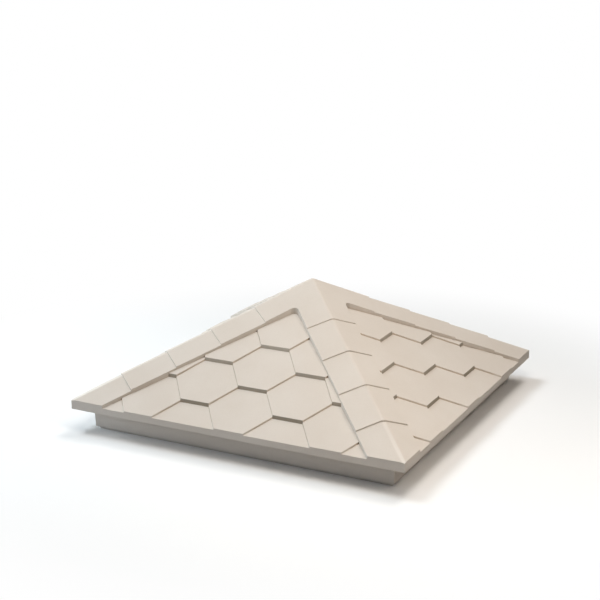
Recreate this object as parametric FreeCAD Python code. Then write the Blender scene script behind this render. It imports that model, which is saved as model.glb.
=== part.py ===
import FreeCAD, Part
import math
import os

# Plan and levels of the moulded base
side = 445.0
fascia_side = 404.6
fascia_draft = 0.6
base_cove = 3.9
fascia_h = 14.65
soffit_cove = 11.5
lip_h = 9.8

# Roof core below the tiles and ridge pieces
slope = math.radians(30.0)
core_drop = 6.0
root_depth = 9.0

# Hexagon tiles on each slope
tile_edge = 39.0
tile_pitch = 62.8
tile_row = 68.9
tile_riser = 3.8
tile_draft = 0.9
tile_depth = 11.0
tile_columns = 3
tile_rows = 4
field_inset = 6.0
field_corner_r = 8.5

# Ridge pieces on each hip: lifts are of the lower and upper end over the slope
ridge_w = 34.0
wall_draft = 0.18
ridge_first = 69.6
ridge_len = 62.2
ridge_count = 4
first_low = 2.0
first_high = 1.5
ridge_low = 3.05
ridge_high = 1.75
apex_lift = 2.9
apex_blunt = 1.2
apex_r = 14.0
crest_r = 8.0
first_crest_r = 12.0

# Extra length of tool bodies that are trimmed later
over = 20.0
ridge_over = 6.0
corner_over = 60.0

# Derived levels and directions
half = side / 2.0
rise = math.tan(slope)
cove_z = base_cove + fascia_h
soffit_z = cove_z + soffit_cove
eave_z = soffit_z + lip_h
peak_z = eave_z + half * rise
seam_z = eave_z - root_depth
top_z = peak_z + over
face_len = half / math.cos(slope)
hip_len = math.hypot(half, face_len)
hip_u = half / hip_len
hip_v = face_len / hip_len


def vec(x, y, z):
    return FreeCAD.Vector(x, y, z)


# Point of the front slope: u along the eave, v up the slope, lift straight up
def on_slope(u, v, lift):
    return vec(u, -half + v * math.cos(slope), eave_z + v * math.sin(slope) + lift)


# Point of the front slope by distance along the right hip and square to it
def by_hip(s, w, lift):
    return on_slope(half - s * hip_u - w * hip_v, s * hip_v - w * hip_u, lift)


# The same point mirrored to the slope on the other side of the right hip
def across(p):
    return vec(-p.y, -p.x, p.z)


def polygon_face(points):
    return Part.Face(Part.makePolygon(points + [points[0]]))


# Upright prism over plan points
def upright(points, z0, z1):
    flat = [vec(p.x, p.y, z0) for p in points]
    return polygon_face(flat).extrude(vec(0, 0, z1 - z0))


# Solid between two polygons with matching corners
def frustum(upper, lower):
    faces = [polygon_face(upper), polygon_face(lower)]
    n = len(upper)
    for i in range(n):
        j = (i + 1) % n
        faces.append(polygon_face([upper[i], upper[j], lower[j], lower[i]]))
    return Part.makeSolid(Part.makeShell(faces))


def four_times(shape):
    out = []
    for k in range(4):
        turned = shape.copy()
        turned.rotate(vec(0, 0, 0), vec(0, 0, 1), 90.0 * k)
        out.append(turned)
    return out


# Moulded base and plain roof core: one outline run both ways and mitred
def core():
    f = fascia_side / 2.0
    f_lo = f - fascia_draft
    b = f_lo - base_cove
    low = base_cove / math.sqrt(2.0)
    high = soffit_cove / math.sqrt(2.0)
    shoulder = vec(half, 0, eave_z - core_drop)
    peak = vec(0, 0, peak_z - core_drop)
    foot = vec(b, 0, 0)
    foot_mid = vec(f_lo - low, 0, low)
    fascia_lo = vec(f_lo, 0, base_cove)
    fascia_hi = vec(f, 0, cove_z)
    cove_mid = vec(f + soffit_cove - high, 0, cove_z + high)
    soffit = vec(f + soffit_cove, 0, soffit_z)
    lip = vec(half, 0, soffit_z)
    right = [Part.Arc(foot, foot_mid, fascia_lo).toShape()]
    right.append(Part.makeLine(fascia_lo, fascia_hi))
    right.append(Part.Arc(fascia_hi, cove_mid, soffit).toShape())
    right.append(Part.makeLine(soffit, lip))
    right.append(Part.makeLine(lip, shoulder))
    right.append(Part.makeLine(shoulder, peak))
    left = [edge.mirror(vec(0, 0, 0), vec(1, 0, 0)) for edge in right]
    bottom = Part.makeLine(vec(-b, 0, 0), foot)
    wire = Part.Wire(Part.__sortEdges__(right + left + [bottom]))
    bar = Part.Face(wire).extrude(vec(0, side + 2.0 * over, 0))
    bar.translate(vec(0, -half - over, 0))
    turned = bar.copy()
    turned.rotate(vec(0, 0, 0), vec(0, 0, 1), 90.0)
    return bar.common(turned)


# One hexagon tile, proud at its lower edge, sides drafted
def tile(column, low_v):
    uc = column * tile_pitch
    wide = tile_pitch - tile_edge / 2.0
    narrow = tile_edge / 2.0
    rows = [(narrow, 0.0), (wide, 0.5), (narrow, 1.0)]
    corners = [(uc + w, k) for w, k in rows] + [(uc - w, k) for w, k in reversed(rows)]
    upper = [on_slope(u, low_v + k * tile_row, -k * tile_riser) for u, k in corners]
    centre = on_slope(uc, low_v + tile_row / 2.0, -tile_riser / 2.0)
    reach = tile_row / 2.0 * math.cos(slope)
    grow = 1.0 + tile_draft / reach * tile_depth / tile_riser
    lower = [centre + (p - centre) * grow - vec(0, 0, tile_depth) for p in upper]
    return frustum(upper, lower)


# Recessed field of tiles on the front slope, every second column set half a row lower
def field():
    tiles = []
    for column in range(-tile_columns, tile_columns + 1):
        start = 0.0 if column % 2 == 0 else -tile_row / 2.0
        for k in range(tile_rows):
            low_v = start + k * tile_row
            inner = max(0.0, abs(column) * tile_pitch - tile_pitch + tile_edge / 2.0)
            if inner < half - low_v * math.cos(slope):
                tiles.append(tile(column, low_v))
    body = tiles[0].multiFuse(tiles[1:])
    edge = half - field_inset
    corners = [vec(-edge, -half, 0), vec(edge, -half, 0), vec(0, -field_inset, 0)]
    return body.common(upright(corners, seam_z, top_z))


# Edge of the field between the ridge pieces, wider the higher it is over the slope
def field_outline(lift):
    w = ridge_w + wall_draft * (ridge_high - lift)
    foot = by_hip(ridge_w * hip_u / hip_v - over, w, lift)
    peak = by_hip((half - w * hip_v) / hip_u, w, lift)
    return [vec(-foot.x, foot.y, foot.z), foot, peak]


# Tool that clears the field: its walls are drafted and its top corner is rounded
def field_hole():
    hole = frustum(field_outline(over), field_outline(-over))
    steep = [e for e in hole.Edges if e.BoundBox.ZLength > over]
    top_edge = [e for e in steep if abs(e.BoundBox.Center.x) < ridge_over]
    return hole.makeFillet(field_corner_r, top_edge)


# Long roof-shaped bar along the right front hip with a rounded crest
def hip_bar(s0, lift0, s1, lift1, crest, reach, deep):
    start = by_hip(s0, 0, lift0)
    end = by_hip(s1, 0, lift1)
    left = by_hip(0, 1, 0) - by_hip(0, 0, 0)
    right = across(left)
    down = left + right
    down.normalize()
    bend = math.asin(left.dot(down))
    flat = crest * math.tan(bend)
    sag = crest * (1.0 / math.cos(bend) - 1.0)
    run = end - start
    run.normalize()
    run_out = corner_over + over
    back = start - run * run_out
    a = back + left * reach
    ta = back + left * flat
    mid = back + down * sag
    tb = back + right * flat
    b = back + right * reach
    edges = [Part.makeLine(a, ta), Part.Arc(ta, mid, tb).toShape(), Part.makeLine(tb, b)]
    edges.append(Part.makeLine(b, b + down * deep))
    edges.append(Part.makeLine(b + down * deep, a + down * deep))
    edges.append(Part.makeLine(a + down * deep, a))
    section = Part.Face(Part.Wire(edges))
    return section.extrude(run * (hip_len + 2.0 * run_out))


# Plan corners of a line square to the hip, seen from the left slope to the right one
def cross_line(s):
    outer = by_hip(s, ridge_w + ridge_over, 0)
    return [outer, by_hip(s, 0, 0), across(outer)]


# One ridge piece between two cross lines, the lowest one running past the eave corner
def ridge(s0, s1, low, high, crest):
    low_end = s0 if s0 > 0 else -corner_over
    plan = cross_line(low_end) + list(reversed(cross_line(s1)))
    bar = hip_bar(s0, low, s1, high, crest, ridge_w + 2.0 * ridge_over, root_depth)
    return bar.common(upright(plan, seam_z, top_z))


# Single piece over the apex, its four hips rounded like the rest and its tip blunted
def apex(s0):
    plan = []
    for k in range(4):
        turn = FreeCAD.Rotation(vec(0, 0, 1), 90.0 * k)
        plan += [turn.multVec(p) for p in cross_line(s0)]
    foot_z = by_hip(s0, ridge_w + ridge_over, 0).z - root_depth
    body = upright(plan, foot_z, top_z)
    for bar in four_times(hip_bar(s0, apex_lift, hip_len, apex_lift, crest_r, half, half)):
        body = body.common(bar)
    tip_z = peak_z + apex_lift - apex_blunt
    dome = Part.makeSphere(apex_r, vec(0, 0, tip_z - apex_r), vec(-1, 0, 0))
    drill = Part.makeCylinder(ridge_over, over, vec(0, 0, tip_z - ridge_over))
    return body.cut(drill.cut(dome))


def pier_cap():
    ends = [ridge_first + k * ridge_len for k in range(ridge_count)]
    hip = [ridge(0.0, ends[0], first_low, first_high, first_crest_r)]
    for s0, s1 in zip(ends[:-1], ends[1:]):
        hip.append(ridge(s0, s1, ridge_low, ridge_high, crest_r))
    corner = vec(half, -half, 0)
    plan = [corner, vec(half, half, 0), vec(-half, half, 0), vec(-half, -half, 0)]
    square = upright(plan, seam_z, top_z)
    bands = [apex(ends[-1])]
    for piece in hip:
        bands += four_times(piece.common(square))
    bands = bands[0].multiFuse(bands[1:])
    for hole in four_times(field_hole()):
        bands = bands.cut(hole)
    body = core().multiFuse([bands] + four_times(field()))
    return body.removeSplitter()


os.makedirs("parts", exist_ok=True)
shape = pier_cap()
solid = shape.Solids[0]
print("solids", len(shape.Solids), "valid", solid.isValid(), "faces", len(solid.Faces))
print("volume litres", round(solid.Volume / 1e6, 2), "box", solid.BoundBox)
solid.exportStep("parts/pier_cap.step")
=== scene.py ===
import math

import bmesh
import bpy
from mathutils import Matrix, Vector


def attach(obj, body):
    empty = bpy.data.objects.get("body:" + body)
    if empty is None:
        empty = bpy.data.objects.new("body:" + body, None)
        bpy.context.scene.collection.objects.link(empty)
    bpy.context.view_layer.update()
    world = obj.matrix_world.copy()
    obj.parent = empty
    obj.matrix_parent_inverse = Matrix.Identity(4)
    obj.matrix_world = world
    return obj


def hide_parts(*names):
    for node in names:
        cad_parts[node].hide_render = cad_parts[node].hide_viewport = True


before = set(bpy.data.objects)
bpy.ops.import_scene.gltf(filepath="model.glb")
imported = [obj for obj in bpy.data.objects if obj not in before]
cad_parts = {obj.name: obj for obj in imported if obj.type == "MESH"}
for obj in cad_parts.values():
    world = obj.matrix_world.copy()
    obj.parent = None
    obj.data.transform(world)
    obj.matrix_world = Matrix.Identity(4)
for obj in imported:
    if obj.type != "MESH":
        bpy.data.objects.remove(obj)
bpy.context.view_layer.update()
scene = bpy.context.scene
mm = 0.001


def deselectAll():
    if bpy.context.mode != "OBJECT":
        bpy.ops.object.mode_set(mode="OBJECT")
    bpy.ops.object.select_all(action="DESELECT")


def makeActive(piece):
    deselectAll()
    piece.select_set(True)
    bpy.context.view_layer.objects.active = piece


def linear(hexColour):
    channels = [int(hexColour[i:i + 2], 16) / 255 for i in (1, 3, 5)]
    bent = [c / 12.92 if c <= 0.04045 else ((c + 0.055) / 1.055) ** 2.4 for c in channels]
    return (*bent, 1.0)


# colour mixes go by socket number: 6 and 7 are the two colours, 2 is the mixed one
def addNode(tree, kind, settings=None, inputs=None):
    node = tree.nodes.new(kind)
    for name, value in (settings or {}).items():
        setattr(node, name, value)
    for key, value in (inputs or {}).items():
        if isinstance(value, bpy.types.NodeSocket):
            tree.links.new(value, node.inputs[key])
        else:
            node.inputs[key].default_value = value
    return node


def emptyMaterial(name):
    material = bpy.data.materials.new(name)
    material.use_nodes = True
    material.node_tree.nodes.clear()
    return material, material.node_tree


# concrete cast face down in a smooth mould: a matt cement skin with hardly a cloud in it and a fine
# sand grain, a few air pores, painted shade on the tile noses, a painted highlight on the crests near the
# eave corners, painted brown shade in the inner corners and near-black painted shade in the deepest
# nooks; From and To are where a tint sets in and where it is full
castConcrete = {
    "cloudDark": "#D9CEC2",
    "cloudLight": "#DDD3C8",
    "cloudSize": 70 * mm,
    "cloudDetail": 4.0,
    "cloudRoughness": 0.55,
    "cloudFrom": 0.35,
    "cloudTo": 0.65,
    "sandDark": "#C4B6A4",
    "sandShare": 0.16,
    "sandSize": 1.3 * mm,  # real sand is about half as large, drawn coarser so that it shows
    "sandDetail": 2.0,
    "sandRoughness": 0.6,
    "sandFrom": 0.5,
    "sandTo": 0.75,
    "poreColour": "#A39380",
    "poreSize": 1.1 * mm,
    "poreGap": 16 * mm,
    "steepFrom": 0.6,  # upward part of the normal
    "steepTo": 0.35,
    "reliefFrom": 42.5 * mm,  # height over the floor
    "reliefTo": 43.5 * mm,
    # painted highlight on the hip crests near the eave corners
    "crestHighlight": "#E7DFD6",
    "crestFrom": 0.06,  # lesser sideways part of the normal
    "crestTo": 0.2,
    "topFrom": 0.8,  # upward part of the normal
    "topTo": 0.88,
    "highlightFull": 40 * mm,  # height over the floor
    "highlightNone": 80 * mm,
    # painted shade on the tile noses, darkest low on the cap
    "noseShade": "#B4B0A5",
    "noseFrom": 0.72,  # greater sideways part of the normal
    "noseTo": 0.95,
    "noseShadeFull": 60 * mm,  # height over the floor
    "noseShadeFaint": 130 * mm,
    "faintShare": 0.4,
    # painted brown shade in the inner corners, where they are least open
    "cornerShadeTint": "#DEC5A6",
    "cornerReach": 5 * mm,
    "cornerRays": 16,
    "leanBackFrom": 0.08,  # upward part of the normal
    "leanBackTo": 0.24,
    "cornerShadeFrom": 0.95,  # open share of what is around
    "cornerShadeTo": 0.6,
    # painted shade: near-black in the deepest nooks
    "nookShadowColour": "#20160C",
    "nookFrom": 0.68,  # open share of what is around
    "nookTo": 0.54,
    "roughness": 0.8,
    "grainDepth": 0.05 * mm,
    "grainStrength": 0.6,
}


def castConcreteMaterial(look):
    material, tree = emptyMaterial("cast_concrete_beige")
    place = addNode(tree, "ShaderNodeTexCoord")
    where = place.outputs["Object"]
    # clouds of the mix, a few centimetres across
    clouds = addNode(tree, "ShaderNodeTexNoise", None, {
        "Vector": where, "Scale": 1 / look["cloudSize"],
        "Detail": look["cloudDetail"], "Roughness": look["cloudRoughness"]})
    cloudy = addNode(tree, "ShaderNodeMapRange", None, {
        "Value": clouds.outputs["Fac"], "From Min": look["cloudFrom"], "From Max": look["cloudTo"]})
    tint = addNode(tree, "ShaderNodeMix", {"data_type": "RGBA"}, {
        "Factor": cloudy.outputs["Result"], 6: linear(look["cloudDark"]), 7: linear(look["cloudLight"])})
    # sand grains showing through the skin
    sand = addNode(tree, "ShaderNodeTexNoise", None, {
        "Vector": where, "Scale": 1 / look["sandSize"],
        "Detail": look["sandDetail"], "Roughness": look["sandRoughness"]})
    grains = addNode(tree, "ShaderNodeMapRange", None, {
        "Value": sand.outputs["Fac"], "From Min": look["sandFrom"], "From Max": look["sandTo"],
        "To Max": look["sandShare"]})
    sandy = addNode(tree, "ShaderNodeMix", {"data_type": "RGBA"}, {
        "Factor": grains.outputs["Result"], 6: tint.outputs[2], 7: linear(look["sandDark"])})
    # small air pores, one in each cell and most of them closed
    cells = addNode(tree, "ShaderNodeTexVoronoi", None, {"Vector": where, "Scale": 1 / look["poreGap"]})
    mouth = addNode(tree, "ShaderNodeMath", {"operation": "MULTIPLY"}, {
        0: cells.outputs["Color"], 1: look["poreSize"] / look["poreGap"] / 2})
    pores = addNode(tree, "ShaderNodeMapRange", {"interpolation_type": "SMOOTHSTEP"}, {
        "Value": cells.outputs["Distance"], "From Min": mouth.outputs[0], "From Max": 0.0})
    pitted = addNode(tree, "ShaderNodeMix", {"data_type": "RGBA"}, {
        "Factor": pores.outputs["Result"], 6: sandy.outputs[2], 7: linear(look["poreColour"])})
    # steep faces of the relief, above the eave
    facing = addNode(tree, "ShaderNodeNewGeometry")
    lean = addNode(tree, "ShaderNodeVectorMath", {"operation": "ABSOLUTE"}, {0: facing.outputs["Normal"]})
    leanParts = addNode(tree, "ShaderNodeSeparateXYZ", None, {0: lean.outputs[0]})
    steep = addNode(tree, "ShaderNodeMapRange", None, {
        "Value": leanParts.outputs["Z"], "From Min": look["steepFrom"], "From Max": look["steepTo"]})
    heights = addNode(tree, "ShaderNodeSeparateXYZ", None, {0: where})
    above = addNode(tree, "ShaderNodeMapRange", None, {
        "Value": heights.outputs["Z"], "From Min": look["reliefFrom"], "From Max": look["reliefTo"]})
    relief = addNode(tree, "ShaderNodeMath", {"operation": "MULTIPLY"}, {
        0: steep.outputs["Result"], 1: above.outputs["Result"]})
    # painted highlight: crests of the hips drawn a little paler near the eave corners
    crest = addNode(tree, "ShaderNodeMath", {"operation": "MINIMUM"}, {
        0: leanParts.outputs["X"], 1: leanParts.outputs["Y"]})
    crestSheen = addNode(tree, "ShaderNodeMapRange", {"interpolation_type": "SMOOTHSTEP"}, {
        "Value": crest.outputs[0], "From Min": look["crestFrom"], "From Max": look["crestTo"]})
    low = addNode(tree, "ShaderNodeMapRange", None, {
        "Value": heights.outputs["Z"], "From Min": look["highlightFull"], "From Max": look["highlightNone"],
        "To Min": crestSheen.outputs["Result"], "To Max": 0.0})
    onTop = addNode(tree, "ShaderNodeMapRange", None, {
        "Value": leanParts.outputs["Z"], "From Min": look["topFrom"], "From Max": look["topTo"],
        "To Max": low.outputs["Result"]})
    highlighted = addNode(tree, "ShaderNodeMix", {"data_type": "RGBA"}, {
        "Factor": onTop.outputs["Result"], 6: pitted.outputs[2], 7: linear(look["crestHighlight"])})
    # painted shade: tile noses that face straight down the slope are drawn darker, most low on the cap
    # and fainter higher up
    square = addNode(tree, "ShaderNodeMath", {"operation": "MAXIMUM"}, {
        0: leanParts.outputs["X"], 1: leanParts.outputs["Y"]})
    course = addNode(tree, "ShaderNodeMapRange", None, {
        "Value": heights.outputs["Z"], "From Min": look["noseShadeFull"], "From Max": look["noseShadeFaint"],
        "To Min": 1.0, "To Max": look["faintShare"]})
    noseShadeHeight = addNode(tree, "ShaderNodeMath", {"operation": "MULTIPLY"}, {
        0: course.outputs["Result"], 1: relief.outputs[0]})
    noseShading = addNode(tree, "ShaderNodeMapRange", None, {
        "Value": square.outputs[0], "From Min": look["noseFrom"], "From Max": look["noseTo"],
        "To Max": noseShadeHeight.outputs[0]})
    noses = addNode(tree, "ShaderNodeMix", {"data_type": "RGBA", "blend_type": "MULTIPLY"}, {
        "Factor": noseShading.outputs["Result"], 6: highlighted.outputs[2], 7: linear(look["noseShade"])})
    # painted shade: walls that lean back are darkened brown beside the inner corners, and the deepest
    # nooks are painted near-black
    leanBack = addNode(tree, "ShaderNodeMapRange", None, {
        "Value": leanParts.outputs["Z"], "From Min": look["leanBackFrom"], "From Max": look["leanBackTo"],
        "To Max": relief.outputs[0]})
    nook = addNode(tree, "ShaderNodeAmbientOcclusion", {
        "samples": look["cornerRays"], "only_local": True}, {"Distance": look["cornerReach"]})
    cornerShade = addNode(tree, "ShaderNodeMapRange", None, {
        "Value": nook.outputs["AO"], "From Min": look["cornerShadeFrom"], "From Max": look["cornerShadeTo"],
        "To Max": leanBack.outputs["Result"]})
    cornerShaded = addNode(tree, "ShaderNodeMix", {"data_type": "RGBA", "blend_type": "MULTIPLY"}, {
        "Factor": cornerShade.outputs["Result"], 6: noses.outputs[2], 7: linear(look["cornerShadeTint"])})
    # painted shade: the least open nooks are painted near-black
    nookShadow = addNode(tree, "ShaderNodeMapRange", {"interpolation_type": "SMOOTHSTEP"}, {
        "Value": nook.outputs["AO"], "From Min": look["nookFrom"], "From Max": look["nookTo"]})
    skin = addNode(tree, "ShaderNodeMix", {"data_type": "RGBA"}, {
        "Factor": nookShadow.outputs["Result"], 6: cornerShaded.outputs[2], 7: linear(look["nookShadowColour"])})
    # the grain is felt rather than seen, the pores are shallow pits
    rough = addNode(tree, "ShaderNodeMath", {"operation": "SUBTRACT"}, {
        0: sand.outputs["Fac"], 1: pores.outputs["Result"]})
    bump = addNode(tree, "ShaderNodeBump", None, {
        "Strength": look["grainStrength"], "Distance": look["grainDepth"], "Height": rough.outputs[0]})
    shader = addNode(tree, "ShaderNodeBsdfPrincipled", None, {
        "Base Color": skin.outputs[2], "Roughness": look["roughness"], "Normal": bump.outputs["Normal"]})
    addNode(tree, "ShaderNodeOutputMaterial", None, {"Surface": shader.outputs["BSDF"]})
    return material


casting = {
    "node": "pier_cap",
    "slot": "cast_concrete",
    "mergeGap": 0.02 * mm,
    "flatAngle": 0.4,  # degrees, as the other angles
    "arris": 0.3 * mm,
    "arrisAngle": 30,
    "bendAngle": 1,
    "roundAngle": 24,
}


def makeCasting(spec):
    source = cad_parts[spec["node"]]
    piece = bpy.data.objects.new("cap_casting", source.data.copy())
    scene.collection.objects.link(piece)
    makeActive(piece)
    bpy.ops.object.mode_set(mode="EDIT")
    bpy.ops.mesh.select_all(action="SELECT")
    bpy.ops.mesh.remove_doubles(threshold=spec["mergeGap"])
    bpy.ops.mesh.dissolve_limited(angle_limit=math.radians(spec["flatAngle"]))
    # the outward arrises only: inner corners stay as sharp as the mould left them
    bpy.ops.mesh.select_mode(type="EDGE")
    bpy.ops.mesh.select_all(action="DESELECT")
    mesh = bmesh.from_edit_mesh(piece.data)
    for edge in mesh.edges:
        edge.select_set(edge.calc_face_angle_signed(0.0) > math.radians(spec["arrisAngle"]))
    bmesh.update_edit_mesh(piece.data)
    bpy.ops.mesh.bevel(offset=spec["arris"], segments=1, clamp_overlap=True)
    # rounded crests and coves shade smoothly, the planes between arrises stay flat
    bpy.ops.mesh.select_mode(type="FACE")
    bpy.ops.mesh.select_all(action="SELECT")
    bpy.ops.mesh.faces_shade_flat()
    bpy.ops.mesh.select_all(action="DESELECT")
    mesh = bmesh.from_edit_mesh(piece.data)
    least = math.radians(spec["bendAngle"])
    most = math.radians(spec["roundAngle"])
    for face in mesh.faces:
        bends = [edge.calc_face_angle(0.0) for edge in face.edges]
        face.select_set(any(least < bend < most for bend in bends))
    bmesh.update_edit_mesh(piece.data)
    bpy.ops.mesh.faces_shade_smooth()
    bpy.ops.mesh.select_mode(type="EDGE")
    bpy.ops.mesh.select_all(action="DESELECT")
    bpy.ops.mesh.edges_select_sharp(sharpness=most)
    bpy.ops.mesh.mark_sharp()
    bpy.ops.object.mode_set(mode="OBJECT")
    weights = piece.modifiers.new("flat planes", "WEIGHTED_NORMAL")
    weights.keep_sharp = True
    bpy.ops.object.modifier_apply(modifier=weights.name)
    piece.data.materials.clear()
    piece.data.materials.append(castConcreteMaterial(castConcrete))
    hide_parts(spec["node"])
    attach(piece, "root")
    return piece


cap = makeCasting(casting)
print("casting", len(cap.data.polygons), "faces")

# plain pale floor: the camera sees it white further out, and the shadow stays near the object
floor = {
    "size": 12.0,
    "bounce": "#C6C6C6",
    "seen": "#FFFFFF",
    "roughness": 0.9,
    "fadeFrom": 0.34,
    "fadeTo": 0.62,
}


def makeFloor(spec):
    deselectAll()
    bpy.ops.mesh.primitive_plane_add(size=spec["size"], location=(0, 0, 0))
    piece = bpy.context.object
    piece.name = "studio_floor"
    material, tree = emptyMaterial("matt_paper_floor")
    rays = addNode(tree, "ShaderNodeLightPath")
    colour = addNode(tree, "ShaderNodeMix", {"data_type": "RGBA"}, {
        "Factor": rays.outputs["Is Camera Ray"], 6: linear(spec["bounce"]), 7: linear(spec["seen"])})
    paper = addNode(tree, "ShaderNodeBsdfPrincipled", None, {
        "Base Color": colour.outputs[2], "Roughness": spec["roughness"], "Specular IOR Level": 0.0})
    place = addNode(tree, "ShaderNodeTexCoord")
    far = addNode(tree, "ShaderNodeVectorMath", {"operation": "LENGTH"}, {0: place.outputs["Object"]})
    fade = addNode(tree, "ShaderNodeMapRange", {"interpolation_type": "SMOOTHSTEP"}, {
        "Value": far.outputs["Value"], "From Min": spec["fadeFrom"], "From Max": spec["fadeTo"]})
    shown = addNode(tree, "ShaderNodeMath", {"operation": "MULTIPLY"}, {
        0: rays.outputs["Is Camera Ray"], 1: fade.outputs["Result"]})
    white = addNode(tree, "ShaderNodeEmission", None, {"Color": linear(spec["seen"]), "Strength": 1.0})
    mix = addNode(tree, "ShaderNodeMixShader", None, {
        0: shown.outputs[0], 1: paper.outputs[0], 2: white.outputs[0]})
    addNode(tree, "ShaderNodeOutputMaterial", None, {"Surface": mix.outputs[0]})
    piece.data.materials.append(material)


makeFloor(floor)
print("floor")

# studio lights: large soft boxes high at the left and behind, small ones over the near corner,
# weak fills in front and low at the left, all turned to the same point
lights = {
    "overheadLeft": {"place": (-1.3, 0.0, 2.6), "size": 1.2, "power": 36, "colour": "#EEF8FF"},
    "overheadBack": {"place": (0.2, 1.3, 2.6), "size": 1.2, "power": 29, "colour": "#FFF9F3"},
    "overCorner": {"place": (0.3, -0.36, 0.9), "size": 0.4, "power": 2.2, "colour": "#FFF6EB"},
    "nearCorner": {"place": (0.6, -0.3, 0.5), "size": 0.35, "power": 1.15, "colour": "#FFF6EB"},
    "midFront": {"place": (-0.3, -1.4, 0.8), "size": 0.5, "power": 1.4, "colour": "#F4F8FF"},
    "levelLeft": {"place": (-1.2, -0.15, 0.25), "size": 0.6, "power": 6.0, "colour": "#DFEFF6"},
    "floorLeft": {"place": (-0.75, -0.55, 0.12), "size": 0.3, "power": 1.4, "colour": "#DCEEFF"},
}
lightAim = (0, 0, 80 * mm)
world = {"colour": "#FFFFFF", "ambient": 0.0}


def makeLights(boxes, aim, sky):
    for name, box in boxes.items():
        deselectAll()
        bpy.ops.object.light_add(type="AREA", location=box["place"])
        lamp = bpy.context.object
        lamp.name = name
        lamp.data.shape = "DISK"
        lamp.data.size = box["size"]
        lamp.data.energy = box["power"]
        lamp.data.color = linear(box["colour"])[:3]
        lamp.visible_camera = False
        towards = Vector(aim) - Vector(box["place"])
        lamp.rotation_euler = towards.to_track_quat("-Z", "Y").to_euler()
    backdrop = bpy.data.worlds.new("pale_studio")
    scene.world = backdrop
    backdrop.use_nodes = True
    tree = backdrop.node_tree
    tree.nodes.clear()
    rays = addNode(tree, "ShaderNodeLightPath")
    seen = addNode(tree, "ShaderNodeMath", {"operation": "MAXIMUM"}, {
        0: rays.outputs["Is Camera Ray"], 1: rays.outputs["Is Glossy Ray"]})
    shown = addNode(tree, "ShaderNodeMath", {"operation": "MAXIMUM"}, {
        0: seen.outputs[0], 1: rays.outputs["Is Transmission Ray"]})
    ambient = addNode(tree, "ShaderNodeBackground", None, {
        "Color": linear(sky["colour"]), "Strength": sky["ambient"]})
    white = addNode(tree, "ShaderNodeBackground", None, {"Color": linear(sky["colour"]), "Strength": 1.0})
    mix = addNode(tree, "ShaderNodeMixShader", None, {
        0: shown.outputs[0], 1: ambient.outputs[0], 2: white.outputs[0]})
    addNode(tree, "ShaderNodeOutputWorld", None, {"Surface": mix.outputs[0]})


makeLights(lights, lightAim, world)
print("lights")

# camera fitted to the tile pattern: aim is right and up of the eave centre, in the picture plane
camera = {
    "azimuth": 26.70,
    "elevation": 16.19,
    "distance": 1807.2 * mm,
    "shiftRight": -16.07 * mm,
    "shiftUp": 98.58 * mm,
    "focalPixels": 1385.0,
    "pictureWidth": 600,
    "sensor": 36,
    "clipEnd": 50,
    "eaveHeight": 38.8 * mm,
}


def makeCamera(shot):
    a = math.radians(shot["azimuth"])
    e = math.radians(shot["elevation"])
    back = Vector((math.sin(a) * math.cos(e), -math.cos(a) * math.cos(e), math.sin(e)))
    right = Vector((math.cos(a), math.sin(a), 0))
    up = back.cross(right)
    eye = Vector((0, 0, shot["eaveHeight"])) + back * shot["distance"]
    eye += right * shot["shiftRight"] + up * shot["shiftUp"]
    deselectAll()
    bpy.ops.object.camera_add(location=eye, rotation=(math.pi / 2 - e, 0, a))
    made = bpy.context.object
    made.data.sensor_width = shot["sensor"]
    made.data.lens = shot["sensor"] * shot["focalPixels"] / shot["pictureWidth"]
    made.data.clip_end = shot["clipEnd"]
    scene.camera = made


makeCamera(camera)
print("camera")

scene.view_settings.view_transform = "Standard"
